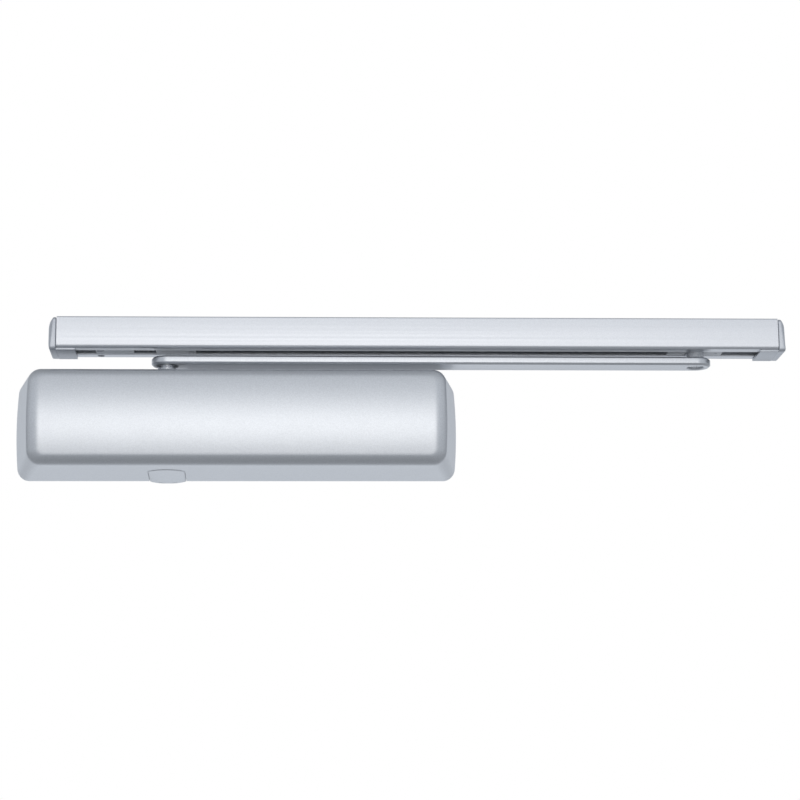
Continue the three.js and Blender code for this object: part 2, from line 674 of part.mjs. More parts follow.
function slider() {
  const bossR = 5.2;
  const bossBottom = ARM.top + 0.5;
  return cut(
    union(
      channelBlock(SLIDER.left, SLIDER.right),
      disc(bossR, bossBottom, RAIL.bottom + 1, "z", ON_PIVOT, COARSE),
    ),
    disc(PIVOT_SCREW_R + GAP, bossBottom - 1, 57, "z", ON_PIVOT, COARSE),
    disc(1, RAIL.bottom - 1, 45.4, "z", [ARM_LENGTH + 12.8, STOP_AXIS.y, 0], 12),
  );
}

// The shouldered screw that the arm's end swivels on, its head in the arm's underside.
function pivotScrew() {
  const headBottom = ARM.bottom + 0.3;
  const headTop = RECESS_TOP_Z - GAP;
  const profile = [[0, headBottom], [4.6, headBottom], [4.6, headTop], [PIVOT_SCREW_R, headTop],
    [PIVOT_SCREW_R, 56], [0, 56]];
  return cut(turned(profile, "z", ON_PIVOT, COARSE),
    hexagon(4.5, headBottom - 1, headBottom + 1.4, "z", ON_PIVOT));
}

add("slider", slider(), LIGHT_NYLON);
add("slider_pivot_screw", pivotScrew(), ZINC_STEEL);

// ---------------------------------------------------------------- rail and its end caps

const LIP_HOLE = { x: -41, y: -17.4, r: 2.2 };
const FRAME_HOLES_X = [-50, 351.5];

function guideRail() {
  const outer = roundedRect([RAIL.front, RAIL.bottom], [RAIL.back, RAIL.top], [2.2, 0.8, 0.8, 0.8]);
  const inner = roundedRect(
    [CHANNEL.front, CHANNEL.bottom], [CHANNEL.back, CHANNEL.top], 0.6);
  const past = 1;
  const sink = [[0, CHANNEL.top - 1], [4.6, CHANNEL.top - 1], [4.6, CHANNEL.top],
    [2.6, RAIL.top - 0.6], [2.6, RAIL.top + 1], [0, RAIL.top + 1]];
  return cut(
    extruded(outer, RAIL.left, RAIL.right, "x", 0, 4),
    extruded(inner, RAIL.left - past, RAIL.right + past, "x", 0, 2),
    box([RAIL.left - past, RAIL.right + past], [RAIL_SLOT.front, RAIL_SLOT.back],
      [RAIL.bottom - past, CHANNEL.bottom + past]),
    disc(LIP_HOLE.r, RAIL.bottom - past, CHANNEL.bottom + past, "z",
      [LIP_HOLE.x, LIP_HOLE.y, 0], COARSE),
    ...FRAME_HOLES_X.map((x) => turned(sink, "z", [x, STOP_AXIS.y, 0], COARSE)),
  );
}

// An end cap: a domed end, a sheet that folds under the rail, and a plug in the channel.
// It is drawn at the rail's left end, with outward pointing to -X, and mirrored for the right.
function endCap(railEnd, outward) {
  const flangeBottom = RAIL.bottom - GAP - CAP.sheet;
  const back = RAIL.back - 0.2;
  const face = railEnd + outward * GAP;
  const inside = railEnd - outward * CAP.flange;
  const rings = [[0, 0], [0.1, CAP.shoulder - 0.9], [0.8, CAP.shoulder],
    [3.2, CAP.shoulder + CAP.bulge * 0.55], [6.2, CAP.shoulder + CAP.bulge * 0.9],
    [8.6, CAP.shoulder + CAP.bulge]];
  const points = [];
  for (const [inset, out] of rings) {
    const corner = Math.max(CAP.corner - inset, 0.4);
    const outline = roundedRect([RAIL.front + inset, flangeBottom + inset],
      [back - inset, RAIL.top - inset], corner);
    for (const { x, y } of outline.getPoints(3)) {
      points.push(new THREE.Vector3(face + outward * out, x, y));
    }
  }
  const span = (a, b) => [Math.min(a, b), Math.max(a, b)];
  return union(
    solid(new ConvexGeometry(points)),
    box(span(face, inside), [RAIL.front + 1, back - 1], [flangeBottom, RAIL.bottom - GAP]),
    box(span(face, inside), [CHANNEL.front + 0.8, CHANNEL.back - 0.8],
      [CHANNEL.bottom + 0.8, CHANNEL.top - 0.8]),
  );
}

add("guide_rail", guideRail(), ANODISED);
add("rail_end_cap_left", endCap(RAIL.left, -1), CAP_GREY);
add("rail_end_cap_right", endCap(RAIL.right, 1), CAP_GREY);

// ---------------------------------------------------------------- stop unit in the rail

const ROD_R = 2.4;
const ROD_END_X = -30;
const STOP_SCREW = { x: LIP_HOLE.x + 0.3, y: -30.2, r: 1.9 };
const CARRIAGE_SCREW = { x: 14.6, r: 1.4 };
const ON_STOP = [0, STOP_AXIS.y, STOP_AXIS.z];

function stopBlock() {
  return cut(
    channelBlock(STOP_BLOCK.left, STOP_BLOCK.right),
    disc(ROD_R + GAP, ROD_END_X - 6, STOP_BLOCK.right + 1, "x", ON_STOP, COARSE),
    disc(STOP_SCREW.r + GAP, RAIL.bottom - 1, 54, "z", [STOP_SCREW.x, STOP_SCREW.y, 0], COARSE),
  );
}

// The carriage that the slider meets, with the guide rod inside the stop spring.
function stopCarriage() {
  return cut(
    union(
      channelBlock(STOP_CARRIAGE.left, STOP_CARRIAGE.right),
      disc(ROD_R, ROD_END_X, STOP_CARRIAGE.left + 1, "x", ON_STOP, COARSE),
    ),
    disc(CARRIAGE_SCREW.r + GAP, RAIL.bottom - 1, 54, "z",
      [CARRIAGE_SCREW.x, STOP_AXIS.y, 0], COARSE),
  );
}

// A headless screw with a key socket in its lower end.
function grubScrew({ x, y = STOP_AXIS.y, r }, bottom, top) {
  const place = [x, y, 0];
  return cut(disc(r, bottom, top, "z", place, COARSE),
    hexagon(r, bottom - 1, bottom + 1.6, "z", place));
}

add("stop_block", stopBlock(), LIGHT_NYLON);
add("stop_clamp_screw", grubScrew(STOP_SCREW, 46.4, 53.5), ZINC_STEEL);
add("stop_spring", coil(STOP_SPRING, STOP_BLOCK.right + GAP, STOP_CARRIAGE.left - GAP,
  [STOP_AXIS.y, STOP_AXIS.z]), SPRING_STEEL);
add("stop_carriage", stopCarriage(), LIGHT_NYLON);
add("stop_adjusting_screw", grubScrew(CARRIAGE_SCREW, 44.8, 53.5), ZINC_STEEL);

export default doorCloser;
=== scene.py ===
"""Looks of a cam-action door closer with a guide rail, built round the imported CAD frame.

Lengths are metres in the frame's own axes: +X along the door, +Y into it, +Z up.
MM turns millimetres, which the pieces are drawn in, into metres.
"""
import json
import math

import bmesh
import bpy
from mathutils import Matrix, Vector


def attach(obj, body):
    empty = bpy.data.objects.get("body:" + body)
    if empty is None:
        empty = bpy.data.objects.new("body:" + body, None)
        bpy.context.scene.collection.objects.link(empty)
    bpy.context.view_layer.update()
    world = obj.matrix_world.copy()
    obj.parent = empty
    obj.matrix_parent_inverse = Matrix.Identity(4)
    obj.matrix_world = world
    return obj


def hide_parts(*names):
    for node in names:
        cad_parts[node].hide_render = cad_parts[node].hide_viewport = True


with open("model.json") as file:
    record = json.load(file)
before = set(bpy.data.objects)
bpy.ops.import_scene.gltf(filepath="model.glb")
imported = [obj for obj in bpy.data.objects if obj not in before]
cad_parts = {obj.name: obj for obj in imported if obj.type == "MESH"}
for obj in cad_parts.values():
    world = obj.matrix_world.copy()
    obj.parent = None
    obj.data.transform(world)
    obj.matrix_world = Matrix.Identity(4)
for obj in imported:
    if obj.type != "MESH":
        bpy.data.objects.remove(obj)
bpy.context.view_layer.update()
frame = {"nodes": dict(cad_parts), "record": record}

MM = 0.001
NODE_BODY = {
    node: body for body, nodes in frame["record"]["behaviour"]["bodies"].items() for node in nodes
}
NODE_SLOT = {row["node"]: row["material_slot"] for row in frame["record"]["subparts"]}

# ------------------------------------------------------------------ camera

SPINDLE_Y = -0.028
CAMERA_PLACE = Vector((0.0636, -1.5352, -0.2963))
CAMERA_YAW = math.radians(2.97)
CAMERA_PITCH = math.radians(11.64)
CAMERA_ROLL = math.radians(-0.49)
CAMERA_LENS = 113.5


def make_camera():
    """A long lens from below, as close to the photograph's view as its outlines give."""
    data = bpy.data.cameras.new("camera")
    data.lens = CAMERA_LENS
    data.sensor_width = 36.0
    data.clip_end = 200.0
    camera = bpy.data.objects.new("camera", data)
    bpy.context.scene.collection.objects.link(camera)
    upright = Matrix.Rotation(math.pi / 2 + CAMERA_PITCH, 4, "X")
    turned = Matrix.Rotation(-CAMERA_YAW, 4, "Z")
    rolled = Matrix.Rotation(CAMERA_ROLL, 4, "Z")
    camera.matrix_world = Matrix.Translation(CAMERA_PLACE) @ turned @ upright @ rolled
    bpy.context.scene.camera = camera


make_camera()

# ------------------------------------------------------------------ materials


class Nodes:
    """A material's node tree, with short calls for the nodes that it needs."""

    def __init__(self, name):
        self.material = bpy.data.materials.new(name)
        self.material.use_nodes = True
        self.tree = self.material.node_tree
        self.tree.nodes.clear()
        self.output = self.tree.nodes.new("ShaderNodeOutputMaterial")
        self.shader = self.tree.nodes.new("ShaderNodeBsdfPrincipled")
        self.link(self.shader.outputs["BSDF"], self.output.inputs["Surface"])
        self.place = self.tree.nodes.new("ShaderNodeTexCoord").outputs["Object"]

    def link(self, source, target):
        self.tree.links.new(source, target)

    def set(self, **values):
        for name, value in values.items():
            self.shader.inputs[name.replace("_", " ")].default_value = value

    def stretched(self, scale):
        """Object coordinates scaled differently along X, Y and Z."""
        mapping = self.tree.nodes.new("ShaderNodeMapping")
        mapping.inputs["Scale"].default_value = scale
        self.link(self.place, mapping.inputs["Vector"])
        return mapping.outputs["Vector"]

    def noise(self, scale, detail=2.0, roughness=0.5, vector=None):
        node = self.tree.nodes.new("ShaderNodeTexNoise")
        node.inputs["Scale"].default_value = scale
        node.inputs["Detail"].default_value = detail
        node.inputs["Roughness"].default_value = roughness
        self.link(vector or self.place, node.inputs["Vector"])
        return node.outputs["Fac"]

    def cells(self, scale, vector=None):
        """A random grey for each small cell, as flakes and grains have."""
        node = self.tree.nodes.new("ShaderNodeTexVoronoi")
        node.inputs["Scale"].default_value = scale
        self.link(vector or self.place, node.inputs["Vector"])
        grey = self.tree.nodes.new("ShaderNodeSeparateColor")
        self.link(node.outputs["Color"], grey.inputs["Color"])
        return grey.outputs["Red"]

    def ranged(self, value, low, high, start=0.0, stop=1.0):
        node = self.tree.nodes.new("ShaderNodeMapRange")
        node.inputs["From Min"].default_value = start
        node.inputs["From Max"].default_value = stop
        node.inputs["To Min"].default_value = low
        node.inputs["To Max"].default_value = high
        self.link(value, node.inputs["Value"])
        return node.outputs["Result"]

    def maths(self, operation, a, b):
        node = self.tree.nodes.new("ShaderNodeMath")
        node.operation = operation
        for socket, value in zip(node.inputs, (a, b)):
            if isinstance(value, (int, float)):
                socket.default_value = value
            else:
                self.link(value, socket)
        return node.outputs["Value"]

    def blend(self, factor, dark, light):
        """A colour between two, by factor."""
        node = self.tree.nodes.new("ShaderNodeMix")
        node.data_type = "RGBA"
        self.link(factor, node.inputs[0])
        for socket, colour in zip((node.inputs[6], node.inputs[7]), (dark, light)):
            if isinstance(colour, tuple):
                socket.default_value = (*colour, 1.0)
            else:
                self.link(colour, socket)
        return node.outputs[2]

    def colour(self, source):
        self.link(source, self.shader.inputs["Base Color"])

    def roughness(self, source):
        self.link(source, self.shader.inputs["Roughness"])

    def bump(self, *layers):
        """Heights in metres, each a (value, height) pair, laid one over the other."""
        normal = None
        for value, height in layers:
            node = self.tree.nodes.new("ShaderNodeBump")
            node.inputs["Distance"].default_value = height
            node.inputs["Strength"].default_value = 1.0
            self.link(value, node.inputs["Height"])
            if normal is not None:
                self.link(normal, node.inputs["Normal"])
            normal = node.outputs["Normal"]
        self.link(normal, self.shader.inputs["Normal"])


def shade(colour, factor):
    return tuple(min(1.0, channel * factor) for channel in colour)


def metallic_paint(name, colour, roughness, flake_size=0.00045):
    """Silver paint: aluminium flakes of slightly different brightness under a satin lacquer."""
    n = Nodes(name)
    n.set(Metallic=0.86, IOR=1.5)
    flakes = n.cells(1 / flake_size)
    cloud = n.noise(38.0, 3.0)
    mixed = n.maths("ADD", n.maths("MULTIPLY", flakes, 0.72), n.maths("MULTIPLY", cloud, 0.28))
    n.colour(n.blend(mixed, shade(colour, 0.93), shade(colour, 1.07)))
    fine = n.noise(2100.0, 1.0)
    n.roughness(n.ranged(fine, roughness - 0.03, roughness + 0.03, 0.3, 0.7))
    n.bump((n.noise(900.0, 2.0), 0.0000045), (n.noise(55.0, 1.0), 0.000012))
    return n.material


def anodised(name, colour, roughness):
    """Drawn aluminium: faint lines along the extrusion under an etched, anodised skin."""
    n = Nodes(name)
    n.set(Metallic=0.92, IOR=1.5)
    lines = n.noise(1.0, 3.0, 0.6, n.stretched((2.0, 900.0, 900.0)))
    grain = n.cells(2400.0)
    mixed = n.maths("ADD", n.maths("MULTIPLY", grain, 0.6), n.maths("MULTIPLY", lines, 0.4))
    n.colour(n.blend(mixed, shade(colour, 0.94), shade(colour, 1.06)))
    n.roughness(n.ranged(lines, roughness - 0.035, roughness + 0.035, 0.3, 0.7))
    n.bump((lines, 0.000004), (n.noise(1500.0, 1.0), 0.0000035))
    return n.material


def cast_iron(name, colour):
    """A sand casting under thin primer."""
    n = Nodes(name)
    n.set(Metallic=0.35)
    sand = n.noise(900.0, 4.0, 0.6)
    n.colour(n.blend(n.noise(60.0, 3.0), shade(colour, 0.78), shade(colour, 1.15)))
    n.roughness(n.ranged(sand, 0.55, 0.8, 0.3, 0.7))
    n.bump((sand, 0.00012), (n.noise(120.0, 2.0), 0.00025))
    return n.material


def plated_steel(name, colour, roughness):
    """Bright zinc plate: a faint crystalline bloom and fine machining lines."""
    n = Nodes(name)
    n.set(Metallic=1.0)
    bloom = n.noise(260.0, 4.0, 0.6)
    n.colour(n.blend(bloom, shade(colour, 0.86), shade(colour, 1.1)))
    lines = n.noise(1.0, 2.0, 0.5, n.stretched((500.0, 500.0, 2600.0)))
    n.roughness(n.ranged(bloom, roughness - 0.06, roughness + 0.08, 0.3, 0.7))
    n.bump((lines, 0.000006))
    return n.material


def ground_steel(name, colour, roughness):
    """Hardened steel with a fine grinding pattern and a little oil staining."""
    n = Nodes(name)
    n.set(Metallic=1.0)
    marks = n.noise(1.0, 3.0, 0.6, n.stretched((400.0, 400.0, 5000.0)))
    stain = n.noise(90.0, 3.0)
    n.colour(n.blend(stain, shade(colour, 0.82), shade(colour, 1.1)))
    n.roughness(n.ranged(marks, roughness - 0.07, roughness + 0.07, 0.3, 0.7))
    n.bump((marks, 0.000006))
    return n.material


def nylon(name, colour):
    """Glass-filled nylon: short pale fibres just under a matt moulded skin."""
    n = Nodes(name)
    n.set(IOR=1.53, Subsurface_Weight=0.04)
    n.shader.inputs["Subsurface Radius"].default_value = (0.0012, 0.001, 0.0009)
    fibres = n.noise(1.0, 3.0, 0.6, n.stretched((700.0, 2600.0, 2600.0)))
    n.colour(n.blend(fibres, shade(colour, 0.9), shade(colour, 1.06)))
    n.roughness(n.ranged(fibres, 0.38, 0.52, 0.3, 0.7))
    n.bump((n.noise(1400.0, 3.0), 0.00001))
    return n.material


def rubber(name, colour):
    n = Nodes(name)
    dust = n.noise(800.0, 3.0, 0.6)
    n.colour(n.blend(dust, colour, shade(colour, 2.0)))
    n.roughness(n.ranged(dust, 0.62, 0.82, 0.3, 0.7))
    n.bump((dust, 0.00002))
    return n.material


SILVER = (0.700, 0.718, 0.745)
MATERIALS = {
    "silver_paint": metallic_paint("silver_paint", SILVER, 0.32),
    "anodised_silver": anodised("anodised_silver", (0.735, 0.750, 0.780), 0.36),
    "cap_silver": metallic_paint("cap_silver", (0.620, 0.640, 0.675), 0.42, 0.0004),
    "cast_iron": cast_iron("cast_iron", (0.30, 0.31, 0.33)),
    "zinc_steel": plated_steel("zinc_steel", (0.74, 0.75, 0.77), 0.26),
    "hard_steel": ground_steel("hard_steel", (0.56, 0.57, 0.59), 0.27),
    "spring_steel": ground_steel("spring_steel", (0.33, 0.34, 0.36), 0.36),
    "light_nylon": nylon("light_nylon", (0.66, 0.68, 0.71)),
    "bronze": plated_steel("bronze", (0.64, 0.46, 0.27), 0.36),
    "brass": plated_steel("brass", (0.78, 0.62, 0.33), 0.24),
    "rubber": rubber("rubber", (0.022, 0.022, 0.024)),
}

# ------------------------------------------------------------------ mesh tools


def make_object(name, points, faces, sharp=35.0):
    """A mesh from points in millimetres, smooth except at edges over the sharp angle."""
    mesh = bpy.data.meshes.new(name)
    mesh.from_pydata([Vector(p) * MM for p in points], [], faces)
    piece = bpy.data.objects.new(name, mesh)
    bpy.context.scene.collection.objects.link(piece)
    tidy(piece, sharp)
    return piece


def tidy(piece, sharp=35.0):
    """Merges double points, turns every face outwards and marks the sharp edges."""
    mesh = piece.data
    work = bmesh.new()
    work.from_mesh(mesh)
    bmesh.ops.remove_doubles(work, verts=work.verts, dist=1e-6)
    bmesh.ops.dissolve_degenerate(work, dist=1e-7, edges=work.edges)
    bmesh.ops.recalc_face_normals(work, faces=work.faces)
    work.to_mesh(mesh)
    work.free()
    mesh.shade_smooth()
    mesh.set_sharp_from_angle(angle=math.radians(sharp))


def loft(name, rings, closed=True, sharp=35.0):
    """Rings of equally many points joined by quads, with both ends closed if asked."""
    count = len(rings[0])
    points = [point for ring in rings for point in ring]
    faces = []
    for low in range(len(rings) - 1):
        for i in range(count):
            j = (i + 1) % count
            a, b = low * count, (low + 1) * count
            faces.append((a + i, a + j, b + j, b + i))
    if closed:
        faces.append(tuple(range(count)))
        faces.append(tuple(range(len(points) - 1, len(points) - count - 1, -1)))
    return make_object(name, points, faces, sharp)


def on_axis(axis, u, v, w):
    """A point from two outline coordinates and one along the axis."""
    return {"x": (w, u, v), "y": (v, w, u), "z": (u, v, w)}[axis]


def prism(name, outline, axis, low, high, sharp=35.0):
    ends = [[on_axis(axis, u, v, w) for u, v in outline] for w in (low, high)]
    return loft(name, ends, sharp=sharp)


def lathe(name, profile, axis, centre, sides=64, sharp=35.0):
    """A closed profile of (radius, height) points turned about an axis through centre."""
    rings = []
    for radius, height in profile:
        ring = []
        for i in range(sides):
            angle = 2 * math.pi * i / sides
            point = on_axis(axis, radius * math.cos(angle), radius * math.sin(angle), height)
            ring.append([p + c for p, c in zip(point, centre)])
        rings.append(ring)
    return loft(name, rings, sharp=sharp)


def applied(piece):
    """Makes the piece's modifiers part of its mesh."""
    graph = bpy.context.evaluated_depsgraph_get()
    mesh = bpy.data.meshes.new_from_object(piece.evaluated_get(graph))
    old = piece.data
    piece.modifiers.clear()
    piece.data = mesh
    bpy.data.meshes.remove(old)
    mesh.name = piece.name
    return piece


def combine(piece, operation, *tools, sharp=35.0):
    for tool in tools:
        modifier = piece.modifiers.new("combine", "BOOLEAN")
        modifier.operation = operation
        modifier.solver = "EXACT"
        modifier.object = tool
        applied(piece)
        mesh = tool.data
        bpy.data.objects.remove(tool)
        bpy.data.meshes.remove(mesh)
    tidy(piece, sharp)
    return piece


def cut(piece, *tools, sharp=35.0):
    return combine(piece, "DIFFERENCE", *tools, sharp=sharp)


def join(piece, *tools, sharp=35.0):
    return combine(piece, "UNION", *tools, sharp=sharp)


def placed(piece, *nodes):
    """The piece stands for these CAD nodes, which share one body and one finish."""
    slot = NODE_SLOT[nodes[0]]
    piece.data.materials.clear()
    piece.data.materials.append(MATERIALS[slot])
    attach(piece, NODE_BODY[nodes[0]])
    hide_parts(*nodes)
    return piece


def arc(centre, radius, start, stop, steps):
    """Points on a circle, from start to stop in degrees, both ends in."""
    angles = [math.radians(start + (stop - start) * i / steps) for i in range(steps + 1)]
    return [(centre[0] + radius * math.cos(a), centre[1] + radius * math.sin(a)) for a in angles]


def rounded_rectangle(low, high, radii, steps=8):
    """Anticlockwise from the low corner; radii are for the four corners in that order."""
    a, b, c, d = radii
    return (
        arc((low[0] + a, low[1] + a), a, 180, 270, steps)
        + arc((high[0] - b, low[1] + b), b, 270, 360, steps)
        + arc((high[0] - c, high[1] - c), c, 0, 90, steps)
        + arc((low[0] + d, high[1] - d), d, 90, 180, steps)
    )


def mix(a, b, t):
    return a + (b - a) * t


def spread(start, stop, step):
    """Numbers from start to stop at about that step, both ends in."""
    count = max(1, round(abs(stop - start) / step))
    return [mix(start, stop, i / count) for i in range(count + 1)]


# ------------------------------------------------------------------ cover

BACK = {"y": -0.6, "left": -93.3, "right": 177.8, "half": 31.0, "corner": 7.3}
FRONT = {"y": -52.5, "left": -82.0, "right": 168.4, "half": 29.3, "corner": 8.5}
CROWN_Y = -56.7
EDGE = {"flank": 7.5, "panel": 5.5, "ends": 1.7, "end_flank": 4.5}
BARREL_R = 102.0
WALL = 1.8
END_BULGE = 1.7
ARC_HANDLE = 0.5523
LEAST_CORNER = 0.6
SLOT_HALF = 11.3
SLOT_NOSE = 7.3


def panel_y(z):
    return CROWN_Y + z * z / (2 * BARREL_R)


def cover_outline(y, inset, ends=0.0):
    """The cover's outline at depth y, drawn in by inset and more at its ends, in (x, z)."""
    t = (y - BACK["y"]) / (FRONT["y"] - BACK["y"])
    left = mix(BACK["left"], FRONT["left"], t) + inset + ends
    right = mix(BACK["right"], FRONT["right"], t) - inset - ends
    half = mix(BACK["half"], FRONT["half"], t) - inset
    corner = min(max(mix(BACK["corner"], FRONT["corner"], t) - inset, LEAST_CORNER), half)
    corner_steps, end_steps, side_steps = 14, 18, 60
    outline = []

    def side(start, stop, steps):
        for i in range(1, steps):
            outline.append(tuple(mix(a, b, i / steps) for a, b in zip(start, stop)))

    outline += arc((right - corner, half - corner), corner, 0, 90, corner_steps)
    side((right - corner, half), (left + corner, half), side_steps)
    outline += arc((left + corner, half - corner), corner, 90, 180, corner_steps)
    side((left, half - corner), (left, corner - half), end_steps)
    outline += arc((left + corner, corner - half), corner, 180, 270, corner_steps)
    side((left + corner, -half), (right - corner, -half), side_steps)
    outline += arc((right - corner, corner - half), corner, 270, 360, corner_steps)
    side((right, corner - half), (right, half - corner), end_steps)
    return outline


def bulged(point):
    """The cover's ends bulge: they are longest at mid height."""
    x, y, z = point
    middle = (BACK["left"] + BACK["right"]) / 2
    reach = (BACK["right"] - BACK["left"]) / 2
    to_end = ((x - middle) / reach) ** 8
    return (x - math.copysign(END_BULGE * to_end * (z / BACK["half"]) ** 2, x - middle), y, z)


def flank_reach(point):
    """How far the rounding reaches down the flank: less at the cover's ends."""
    to_end = min(point.x - FRONT["left"], FRONT["right"] - point.x) / FRONT["corner"]
    return mix(EDGE["end_flank"], EDGE["flank"], min(1.0, max(0.0, to_end)))


def cover_skin(wall, back):
    """Rings from the door to the panel's middle line: wall 0 is outside, WALL inside."""
    base = [Vector((x, BACK["y"], z)) for x, z in cover_outline(BACK["y"], wall)]
    corner = [Vector((x, panel_y(z) + wall, z)) for x, z in cover_outline(FRONT["y"], wall)]
    inner = [Vector((x, panel_y(z) + wall, z))
             for x, z in cover_outline(FRONT["y"], EDGE["panel"], EDGE["ends"])]
    start = [c + (b - c).normalized() * (flank_reach(c) - wall) for b, c in zip(base, corner)]
    rings = [[b + (b - c) * ((back - b.y) / (b.y - c.y)) for b, c in zip(base, corner)]]
    for t in spread(0.0, 1.0, 0.125):
        rings.append([b.lerp(s, t) for b, s in zip(base, start)])
    rounding_steps = 16
    for i in range(1, rounding_steps + 1):
        t = i / rounding_steps
        ring = []
        for a, c, b in zip(start, corner, inner):
            near, far = a.lerp(c, ARC_HANDLE), b.lerp(c, ARC_HANDLE)
            ring.append(a * (1 - t) ** 3 + near * 3 * t * (1 - t) ** 2
                        + far * 3 * t * t * (1 - t) + b * t ** 3)
        rings.append(ring)
    for inset in spread(EDGE["panel"] + 1.2, FRONT["half"] - 0.5, 2.0):
        outline = cover_outline(FRONT["y"], inset, EDGE["ends"])
        rings.append([(x, panel_y(z) + wall, z) for x, z in outline])
    return [[bulged(point) for point in ring] for ring in rings]


def tongue(half, nose, back, steps=40):
    """An outline with an oval nose about the spindle, open towards the door, in (x, y)."""
    outline = [(half, mix(back, SPINDLE_Y / MM, i / 8)) for i in range(8)]
    for i in range(steps + 1):
        angle = math.pi * i / steps
        outline.append((half * math.cos(angle), SPINDLE_Y / MM - nose * math.sin(angle)))
    outline += [(-half, mix(SPINDLE_Y / MM, back, i / 8)) for i in range(1, 9)]
    return outline


def make_cover():
    outer = cover_skin(0.0, BACK["y"])[1:]
    inner = cover_skin(WALL, BACK["y"])[1:]
    shell = loft("cover_shell", list(reversed(inner)) + outer, sharp=50.0)
    slots = [prism("slot", tongue(SLOT_HALF, SLOT_NOSE, 3.0), "z", low, high) for low, high in
             ((20.0, 40.0), (-40.0, -20.0))]
    return placed(cut(shell, *slots, sharp=50.0), "cover")


def make_spindle_cap():
    """The tongue-shaped plug: a clip inside the cover and a soft dome just proud of it."""
    half, nose = SLOT_HALF - 0.25, SLOT_NOSE - 0.25
    flare = (BACK["half"] - FRONT["half"]) / (FRONT["y"] - BACK["y"])
    front = SPINDLE_Y / MM - nose
    rim, dome = 0.28, 1.6

    def skin(x, y, drop):
        return (x, y, -(BACK["half"] + flare * (BACK["y"] - y)) - drop)

    rings = [[skin(x, y, -1.6) for x, y in tongue(half, nose, BACK["y"])],
             [skin(x, y, 0.0) for x, y in tongue(half, nose, BACK["y"])]]
    steps = 24
    for i in range(steps):
        share = 1 - i / steps
        edge = rim * math.sqrt(max(0.0, 1 - (1 - min(1.0, (1 - share) / 0.08)) ** 2))
        ring = []
        for x, y in tongue(half * share, nose * share, BACK["y"] - 2 * (1 - share)):
            rise = dome * (1 - (x / half) ** 2) * (y - front) / (BACK["y"] - front)
            ring.append(skin(x, y, edge + rise * min(1.0, (1 - share) / 0.08)))
        rings.append(ring)
    cap = loft("spindle_cap_plug", rings, sharp=40.0)
    stem = prism("stem", tongue(half - 1.0, nose - 1.0, -3.0), "z", -29.2, -25.3)
    clip = prism("clip", tongue(half + 2.2, nose + 2.2, -3.0), "z", -27.0, -25.3)
    return placed(join(cap, stem, clip, sharp=40.0), "spindle_cap")


make_cover()
make_spindle_cap()

# ------------------------------------------------------------------ guide rail

RAIL = {"left": -66.5, "right": 373.5, "front": -43.0, "back": -13.0, "bottom": 44.1, "top": 63.1}
RAIL_WALL = 2.3
RAIL_SLOT = (-33.6, -21.2)
CHANNEL = {"front": RAIL["front"] + RAIL_WALL, "back": RAIL["back"] - RAIL_WALL,
           "bottom": RAIL["bottom"] + RAIL_WALL, "top": RAIL["top"] - RAIL_WALL}
FACE_BULGE = 0.3
LIP_HOLE = {"x": -41.0, "y": -17.4, "r": 2.2}
FRAME_HOLES_X = (-50.0, 351.5)
STOP_Y = -27.4


def rail_face(z):
    """How far the slightly crowned front face lies behind its middle."""
    middle = (RAIL["bottom"] + RAIL["top"]) / 2
    half = (RAIL["top"] - RAIL["bottom"]) / 2
    return RAIL["front"] + FACE_BULGE * ((z - middle) / half) ** 2


def rail_section():
    """The channel's outline in (y, z): the outside, in through the slot and back out."""
    low, high = RAIL["bottom"], RAIL["top"]
    edge, corner, lip, hang = 2.0, 0.8, 0.35, 0.25
    slot_front, slot_back = RAIL_SLOT
    face = [(rail_face(z), z) for z in spread(high - corner - 0.2, low + edge - 0.1, 1.2)]
    front_low = rail_face(low + edge)
    outline = arc((rail_face(high - corner) + corner, high - corner), corner, 90, 180, 6)
    outline += face
    outline += arc((front_low + edge, low + edge - hang), edge, 180, 270, 12)
    outline += arc((slot_front - lip, low + lip - hang), lip, 270, 360, 4)
    outline += arc((slot_front - lip, CHANNEL["bottom"] - lip), lip, 0, 90, 4)
    outline += arc((CHANNEL["front"] + 0.6, CHANNEL["bottom"] + 0.6), 0.6, 270, 180, 4)
    outline += arc((CHANNEL["front"] + 0.6, CHANNEL["top"] - 0.6), 0.6, 180, 90, 4)
    outline += arc((CHANNEL["back"] - 0.6, CHANNEL["top"] - 0.6), 0.6, 90, 0, 4)
    outline += arc((CHANNEL["back"] - 0.6, CHANNEL["bottom"] + 0.6), 0.6, 0, -90, 4)
    outline += arc((slot_back + lip, CHANNEL["bottom"] - lip), lip, 90, 180, 4)
    outline += arc((slot_back + lip, low + lip), lip, 180, 270, 4)
    outline += arc((RAIL["back"] - corner, low + corner), corner, 270, 360, 6)
    outline += arc((RAIL["back"] - corner, high - corner), corner, 0, 90, 6)
    return outline


def make_rail():
    rail = prism("rail_extrusion", rail_section(), "x", RAIL["left"], RAIL["right"], sharp=30.0)
    hole = (LIP_HOLE["x"], LIP_HOLE["y"], 0)
    tools = [lathe("hole", [(LIP_HOLE["r"], 42.0), (LIP_HOLE["r"], 48.0)], "z", hole, 40)]
    for x in FRAME_HOLES_X:
        top = CHANNEL["top"]
        sink = [(4.6, top - 1.0), (4.6, top), (2.6, RAIL["top"] - 0.6), (2.6, RAIL["top"] + 1.0)]
        tools.append(lathe("sink", sink, "z", (x, STOP_Y, 0), 40))
    return placed(cut(rail, *tools, sharp=30.0), "guide_rail")


CAP = {"flange": 11.0, "sheet": 1.2, "deep": 5.0, "rim_top": 2.0, "rim_low": 4.2, "gap": 0.3}


